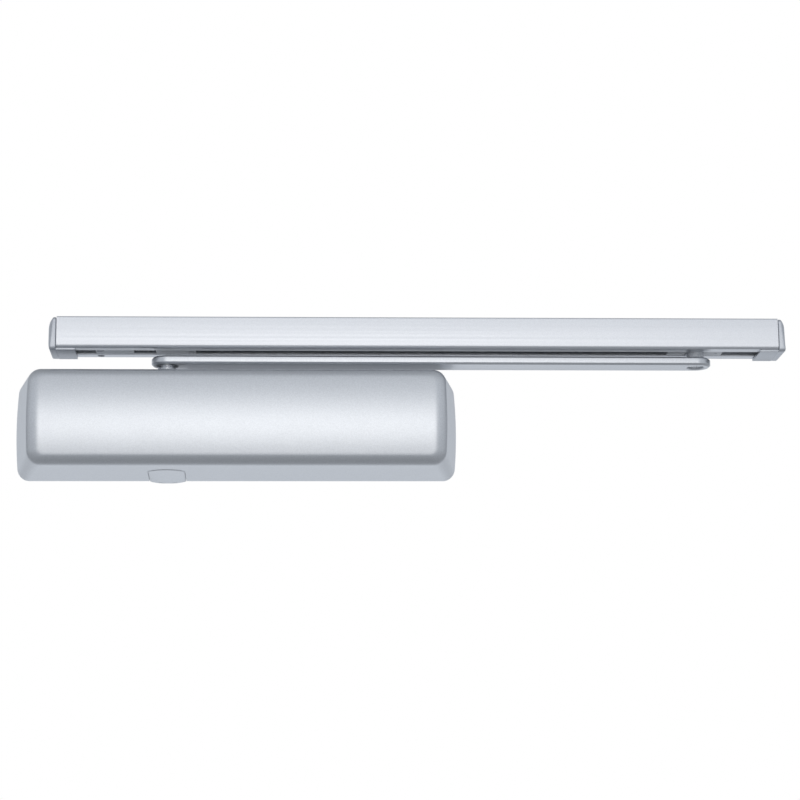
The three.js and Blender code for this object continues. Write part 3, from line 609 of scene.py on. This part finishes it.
def make_end_cap(node, end, outward):
    """A domed cap with a sheet folded under the rail and a plug in the channel."""
    low = RAIL["bottom"] - CAP["gap"] - CAP["sheet"]
    back = RAIL["back"] - 0.2
    face = end + outward * CAP["gap"]
    inside = end - outward * CAP["flange"]

    def ring(inset, rise, dome=0.0):
        """The cap's outline drawn in by inset; rise is measured from its thick rim."""
        corners = [max(r - inset, 0.25) for r in (2.2, 2.2, 1.6, 2.0)]
        outline = rounded_rectangle(
            (RAIL["front"] + 0.25 + inset, low + inset),
            (back - inset, RAIL["top"] - 0.35 - inset), corners, 6)
        points = []
        for y, z in outline:
            down = min(1.0, max(0.0, (RAIL["top"] - z) / 12.0))
            rim = mix(CAP["rim_top"], CAP["rim_low"], math.sin(down * math.pi / 2))
            out = rise if rise >= 0 and dome == 0.0 else mix(rim + rise, CAP["deep"], dome)
            points.append((face + outward * out, y, z))
        return points

    edge = 1.1
    rings = [ring(0.45, 0.0), ring(0.05, 0.35), ring(0.0, 0.5)]
    for i in range(7):
        angle = math.pi / 2 * i / 6
        rings.append(ring(edge * (1 - math.cos(angle)), edge * (math.sin(angle) - 1.0001)))
    for i in range(1, 13):
        t = i / 12
        rings.append(ring(mix(edge, 9.2, t), 0.0, 1 - (1 - t) ** 2))
    cap = loft("cap_dome", rings, sharp=32.0)
    cap.name = node + "_moulding"
    x_span = sorted((face, inside))
    sheet = rounded_rectangle((RAIL["front"] + 2.2, low), (back - 1.0, RAIL["bottom"] - CAP["gap"]),
                              (0.3, 0.3, 0.05, 0.05), 3)
    plug = rounded_rectangle(
        (CHANNEL["front"] + 0.8, CHANNEL["bottom"] + 0.8),
        (CHANNEL["back"] - 0.8, CHANNEL["top"] - 0.8), (0.6,) * 4, 3)
    pieces = [prism("sheet", sheet, "x", *x_span), prism("plug", plug, "x", *x_span)]
    return placed(join(cap, *pieces, sharp=32.0), node)


make_rail()
make_end_cap("rail_end_cap_left", RAIL["left"], -1)
make_end_cap("rail_end_cap_right", RAIL["right"], 1)

# ------------------------------------------------------------------ arm and spindle

ARM_LENGTH = 324.3
ARM = {"bottom": 35.1, "top": 40.4, "hub_r": 9.6, "end_r": 9.1, "chamfer": 1.2}
HUB = (0.0, SPINDLE_Y / MM, 0.0)
PIVOT = (ARM_LENGTH, SPINDLE_Y / MM, 0.0)


def arm_outline(inset):
    """The arm in plan: straight sides between the hub's round end and the slider's."""
    tilt = math.degrees(math.asin((ARM["hub_r"] - ARM["end_r"]) / ARM_LENGTH))
    hub = arc(HUB[:2], ARM["hub_r"] - inset, 90 - tilt, 270 + tilt, 40)
    end = arc(PIVOT[:2], ARM["end_r"] - inset, tilt - 90, 90 - tilt, 40)
    return hub + end


def make_arm():
    """A flat bar whose long edges are bevelled and eased."""
    bevel = ARM["chamfer"]
    ease = 0.4
    levels = [(bevel + ease, 0.0), (bevel, 0.05), (bevel - ease * 0.6, ease * 0.6),
              (ease * 0.6, bevel - ease * 0.6), (0.05, bevel), (0.0, bevel + ease)]
    low = [(inset, ARM["bottom"] + rise) for inset, rise in levels]
    high = [(inset, ARM["top"] - rise) for inset, rise in reversed(levels)]
    rings = [[(x, y, z) for x, y in arm_outline(inset)] for inset, z in low + high]
    bar = loft("slide_arm", rings, sharp=28.0)
    sink = lathe("sink", [(4.9, 34.0), (4.9, 38.2), (4.7, 38.4), (4.7, 42.0)], "z", HUB)
    recess = lathe("recess", [(5.6, 34.5), (5.6, 35.15), (5.0, 35.7), (5.0, 38.0)], "z", PIVOT)
    bore = lathe("bore", [(4.5, 37.0), (4.5, 41.0)], "z", PIVOT)
    return placed(cut(bar, sink, recess, bore, sharp=28.0), "arm")


def make_collar():
    """The turned collar under the arm: two raised rings on a widening neck."""
    bore = 4.9
    profile = [(bore, 30.8), (5.3, 30.8)]
    profile += arc((5.3, 31.35), 0.55, -90, 60, 8)
    profile += [(5.45, 31.95), (5.45, 32.15)]
    profile += arc((5.6, 32.75), 0.62, -60, 60, 8)
    profile += [(mix(5.5, 6.9, t * t), mix(33.35, 34.7, t)) for t in spread(0.0, 1.0, 0.12)]
    profile += [(6.9, 34.8), (bore, 34.8)]
    rings = profile + [profile[0]]
    return placed(ring_lathe("arm_collar_ring", rings, "z", HUB), "arm_collar")


def ring_lathe(name, profile, axis, centre, sides=64, sharp=35.0):
    """A turned ring: the profile closes on itself, so it has no end faces."""
    rings = []
    for radius, height in profile:
        ring = []
        for i in range(sides):
            angle = 2 * math.pi * i / sides
            point = on_axis(axis, radius * math.cos(angle), radius * math.sin(angle), height)
            ring.append([p + c for p, c in zip(point, centre)])
        rings.append(ring)
    return loft(name, rings, closed=False, sharp=sharp)


def make_spindle():
    profile = [(5.0, -24.6), (5.4, -24.2), (5.4, -21.6), (6.6, -21.2), (6.6, 26.4), (6.4, 26.7),
               (4.75, 30.2), (4.6, 30.5), (4.6, 37.1), (4.3, 37.4)]
    shaft = lathe("spindle_shaft", profile, "z", HUB)
    hole = lathe("hole", [(2.9, 29.0), (2.9, 37.0), (3.3, 37.5)], "z", HUB, 40)
    return placed(cut(shaft, hole), "spindle")


def socket(points, radius, low, high, axis, centre):
    """A cutter for a star or hexagon key socket with rounded flanks."""
    outline = []
    steps = points * 8
    for i in range(steps):
        angle = 2 * math.pi * i / steps
        r = radius * (1 + 0.11 * math.cos(points * angle))
        outline.append((centre[0] + r * math.cos(angle), centre[1] + r * math.sin(angle)))
    return prism("socket", outline, axis, low, high)


def make_pivot_screw():
    """The arm's end turns on this shouldered screw; its dished head shows from below."""
    profile = [(0.05, 36.9), (2.9, 36.55), (4.1, 36.2), (4.45, 36.25), (4.6, 36.45), (4.6, 37.5),
               (4.4, 37.7), (2.9, 37.7), (2.9, 55.6), (2.5, 56.0)]
    screw = lathe("pivot_screw", profile, "z", PIVOT)
    key = socket(6, 2.2, 35.0, 38.6, "z", PIVOT)
    return placed(cut(screw, key), "slider_pivot_screw")


def make_arm_screw():
    profile = [(2.4, 29.5), (2.6, 29.8), (2.6, 38.3), (4.3, 38.6), (4.4, 38.8), (4.4, 40.1),
               (4.1, 40.4)]
    screw = lathe("arm_screw_bolt", profile, "z", HUB)
    return placed(cut(screw, socket(6, 2.1, 38.9, 42.0, "z", HUB)), "arm_screw")


make_arm()
make_collar()
make_spindle()
make_pivot_screw()
make_arm_screw()

# ------------------------------------------------------------------ slider and stop unit

SIDE_GAP = 0.3
STOP_AXIS = (0.0, STOP_Y, 49.8)


def block_section():
    """A channel block's section in (y, z): a wide body and a neck that fills the slot."""
    body_low, body_high = CHANNEL["bottom"] + SIDE_GAP, CHANNEL["top"] - SIDE_GAP
    front, back = CHANNEL["front"] + SIDE_GAP, CHANNEL["back"] - SIDE_GAP
    neck_front, neck_back = RAIL_SLOT[0] + SIDE_GAP, RAIL_SLOT[1] - SIDE_GAP
    neck_low = RAIL["bottom"] + 0.2
    r, n = 0.8, 0.5
    outline = arc((neck_front + n, neck_low + n), n, 180, 270, 4)
    outline += arc((neck_back - n, neck_low + n), n, 270, 360, 4)
    outline += [(neck_back, body_low)]
    outline += arc((back - r, body_low + r), r, 270, 360, 4)
    outline += arc((back - r, body_high - r), r, 0, 90, 4)
    outline += arc((front + r, body_high - r), r, 90, 180, 4)
    outline += arc((front + r, body_low + r), r, 180, 270, 4)
    outline += [(neck_front, body_low)]
    return outline


def channel_block(name, left, right, ease=0.5):
    """A block along the channel with eased ends."""
    section = block_section()
    middle = Vector((sum(y for y, z in section), sum(z for y, z in section))) / len(section)
    rings = []
    for x, drawn in ((left, ease), (left + ease, 0.0), (right - ease, 0.0), (right, ease)):
        ring = []
        for y, z in section:
            pull = Vector((y, z)) - middle
            shrunk = pull * (1 - drawn / max(pull.length, 1.0))
            ring.append((x, middle.x + shrunk.x, middle.y + shrunk.y))
        rings.append(ring)
    return loft(name, rings, sharp=40.0)


def make_slider():
    block = channel_block("slider_shoe", 307.2, 341.2)
    boss = lathe("boss", [(4.9, 40.9), (5.2, 41.2), (5.2, 46.0)], "z", PIVOT)
    join(block, boss, sharp=40.0)
    bore = lathe("bore", [(3.2, 40.0), (3.2, 57.0)], "z", PIVOT)
    dimple = lathe("dimple", [(1.2, 43.0), (1.0, 45.4)], "z", (ARM_LENGTH + 12.8, STOP_Y, 0), 32)
    groove_back = prism("groove", [(318.0, -34.5), (318.0, -20.0), (318.7, -20.0), (318.7, -34.5)],
                        "z", 43.5, 45.2)
    return placed(cut(block, bore, dimple, groove_back, sharp=40.0), "slider")


def make_stop_block():
    block = channel_block("stop_block_body", -43.7, -20.5)
    rod = lathe("rod_hole", [(2.7, -36.0), (2.7, -19.0)], "x", STOP_AXIS, 40)
    screw = lathe("screw_hole", [(2.4, 43.0), (2.4, 54.0)], "z", (LIP_HOLE["x"] + 0.3, -30.2, 0))
    return placed(cut(block, rod, screw, sharp=40.0), "stop_block")


def make_stop_carriage():
    block = channel_block("stop_carriage_body", -6.9, 17.2)
    rod = lathe("rod", [(2.0, -30.0), (2.4, -29.4), (2.4, -5.0)], "x", STOP_AXIS, 40)
    join(block, rod, sharp=40.0)
    hole = lathe("screw_hole", [(2.0, 43.0), (2.0, 54.0)], "z", (14.6, STOP_Y, 0), 40)
    return placed(cut(block, hole, sharp=40.0), "stop_carriage")


def make_grub_screw(node, x, y, radius, low, high):
    """A headless screw with a key socket in its lower end."""
    chamfer = 0.3
    place = (x, y, 0)
    profile = [(radius - chamfer, low), (radius, low + chamfer), (radius, high - chamfer),
               (radius - chamfer, high)]
    screw = lathe(node + "_body", profile, "z", place, 40)
    key = socket(6, radius * 0.55, low - 1.0, low + 1.6, "z", place)
    return placed(cut(screw, key), node)


make_slider()
make_stop_block()
make_stop_carriage()
make_grub_screw("stop_clamp_screw", LIP_HOLE["x"] + 0.3, -30.2, 1.9, 47.6, 53.5)
make_grub_screw("stop_adjusting_screw", 14.6, STOP_Y, 1.4, 44.8, 53.5)

# ------------------------------------------------------------------ springs


def make_spring(node, start, stop, mean_r, wire_r, turns, centre, wire_sides=12, turn_steps=40):
    """A round wire wound along X, its end turns closed up and its ends cut square."""
    steps = int(turns * turn_steps)
    pitch_angle = 2 * math.pi / turn_steps
    closed = 0.75
    rings = []
    length = stop - start - 2 * wire_r

    def along(turn):
        """The wire's centre along X after that many turns; the first and last turns close."""
        body = turns - 2 * closed
        slow = 2 * wire_r / length * 0.9
        if turn < closed:
            return slow * turn / closed
        if turn > turns - closed:
            return 1 - slow * (turns - turn) / closed
        return slow + (1 - 2 * slow) * (turn - closed) / body

    def centre_point(i):
        angle = i * pitch_angle
        x = start + wire_r + length * along(i / turn_steps)
        y = centre[0] + mean_r * math.cos(angle)
        z = centre[1] + mean_r * math.sin(angle)
        return Vector((x, y, z))

    for i in range(steps + 1):
        here = centre_point(i)
        ahead = centre_point(min(i + 1, steps)) - centre_point(max(i - 1, 0))
        tangent = ahead.normalized()
        outward = Vector((0, math.cos(i * pitch_angle), math.sin(i * pitch_angle)))
        outward = (outward - tangent * outward.dot(tangent)).normalized()
        side = tangent.cross(outward)
        ring = []
        for k in range(wire_sides):
            a = 2 * math.pi * k / wire_sides
            ring.append(here + (outward * math.cos(a) + side * math.sin(a)) * wire_r)
        rings.append(ring)
    return placed(loft(node + "_coil", rings, sharp=60.0), node)


make_spring("stop_spring", -20.2, -7.2, 4.2, 0.6, 4.5, (STOP_Y, STOP_AXIS[2]))
make_spring("main_spring", 46.6, 127.5, 10.3, 1.85, 9.5, (SPINDLE_Y / MM, 0.0), 14, 48)
make_spring("return_spring", -65.5, -44.7, 8.0, 0.8, 4.5, (SPINDLE_Y / MM, 0.0))

# ------------------------------------------------------------------ CAD nodes that stay

for node, piece in frame["nodes"].items():
    if piece.hide_render:
        continue
    piece.data.materials.clear()
    piece.data.materials.append(MATERIALS[NODE_SLOT[node]])
    piece.data.shade_smooth()
    piece.data.set_sharp_from_angle(angle=math.radians(32))

# ------------------------------------------------------------------ floor, light and world

FLOOR_Z = -2.0
FLOOR_HALF = 40.0


def make_floor():
    """A pale, even floor well below the closer; the studio's light passes through it."""
    corners = [(-1, -1), (1, -1), (1, 1), (-1, 1)]
    points = [(x * FLOOR_HALF / MM, y * FLOOR_HALF / MM, FLOOR_Z / MM) for x, y in corners]
    floor = make_object("floor", points, [(0, 1, 2, 3)])
    n = Nodes("floor")
    pale = n.tree.nodes.new("ShaderNodeEmission")
    pale.inputs["Color"].default_value = (0.98, 0.98, 0.98, 1.0)
    path = n.tree.nodes.new("ShaderNodeLightPath")
    clear = n.tree.nodes.new("ShaderNodeBsdfTransparent")
    both = n.tree.nodes.new("ShaderNodeMixShader")
    n.link(path.outputs["Is Camera Ray"], both.inputs["Fac"])
    n.link(clear.outputs["BSDF"], both.inputs[1])
    n.link(pale.outputs["Emission"], both.inputs[2])
    n.link(both.outputs["Shader"], n.output.inputs["Surface"])
    floor.data.materials.append(n.material)


# Directions of light run from -1 to 1 across (x) and in height (z); tall and wide are spreads.
COOL = (0.94, 0.99, 1.06, 1.0)
WARM = (1.03, 1.00, 0.96, 1.0)
AMBIENT = 0.28
KEY = {"side": "front", "height": 0.05, "tall": 0.3, "across": 0.0, "wide": 0.2, "strength": 1.5}
WALL = {"side": "front", "height": 0.3, "tall": 0.8, "across": 0.0, "wide": 2.0, "strength": 0.4}
LEFT = {"side": "back", "height": 0.2, "tall": 0.4, "across": -0.5, "wide": 0.3, "strength": 0.5}
RIGHT = {**LEFT, "across": 0.5}
BOUNCE = {"side": "back", "height": -0.4, "tall": 0.3, "across": 0.0, "wide": 0.5, "strength": 0.6}


def make_world():
    """A plain studio: one key softbox, a pale wall in front, two side boxes and a bounce."""
    world = bpy.data.worlds.new("studio")
    bpy.context.scene.world = world
    world.use_nodes = True
    tree = world.node_tree
    tree.nodes.clear()
    output = tree.nodes.new("ShaderNodeOutputWorld")
    direction = tree.nodes.new("ShaderNodeTexCoord").outputs["Generated"]
    parts = tree.nodes.new("ShaderNodeSeparateXYZ")
    tree.links.new(direction, parts.inputs["Vector"])

    def maths(operation, *values):
        node = tree.nodes.new("ShaderNodeMath")
        node.operation = operation
        for target, value in zip(node.inputs, values):
            if isinstance(value, (int, float)):
                target.default_value = value
            else:
                tree.links.new(value, target)
        return node.outputs["Value"]

    def glow(value, centre, spread):
        """A soft band, brightest where the value is at its centre."""
        off = maths("DIVIDE", maths("SUBTRACT", value, centre), spread)
        return maths("EXPONENT", maths("MULTIPLY", maths("MULTIPLY", off, off), -1.0))

    doubled = maths("MULTIPLY", parts.outputs["Y"], 2.0)
    turned = maths("SMOOTH_MIN", maths("SMOOTH_MAX", doubled, -1.0, 0.3), 1.0, 0.3)
    sides = {"front": maths("MULTIPLY_ADD", turned, -0.5, 0.5),
             "back": maths("MULTIPLY_ADD", turned, 0.5, 0.5)}

    def softbox(light):
        """One light's brightness in every direction, fading softly at its edges."""
        upright = glow(parts.outputs["Z"], light["height"], light["tall"])
        level = glow(parts.outputs["X"], light["across"], light["wide"])
        shape = maths("MULTIPLY", maths("MULTIPLY", upright, level), sides[light["side"]])
        return maths("MULTIPLY", shape, light["strength"])

    soft = AMBIENT
    for light in (WALL, LEFT, RIGHT, BOUNCE):
        soft = maths("ADD", softbox(light), soft)
    around = tree.nodes.new("ShaderNodeAddShader")
    for place, (strength, tint) in enumerate(((soft, COOL), (softbox(KEY), WARM))):
        light = tree.nodes.new("ShaderNodeBackground")
        light.inputs["Color"].default_value = tint
        tree.links.new(strength, light.inputs["Strength"])
        tree.links.new(light.outputs["Background"], around.inputs[place])
    white = tree.nodes.new("ShaderNodeBackground")
    white.inputs["Color"].default_value = (1.0, 1.0, 1.0, 1.0)
    path = tree.nodes.new("ShaderNodeLightPath")
    both = tree.nodes.new("ShaderNodeMixShader")
    tree.links.new(path.outputs["Is Camera Ray"], both.inputs["Fac"])
    tree.links.new(around.outputs["Shader"], both.inputs[1])
    tree.links.new(white.outputs["Background"], both.inputs[2])
    tree.links.new(both.outputs["Shader"], output.inputs["Surface"])


make_floor()
make_world()
bpy.context.scene.view_settings.view_transform = "Standard"
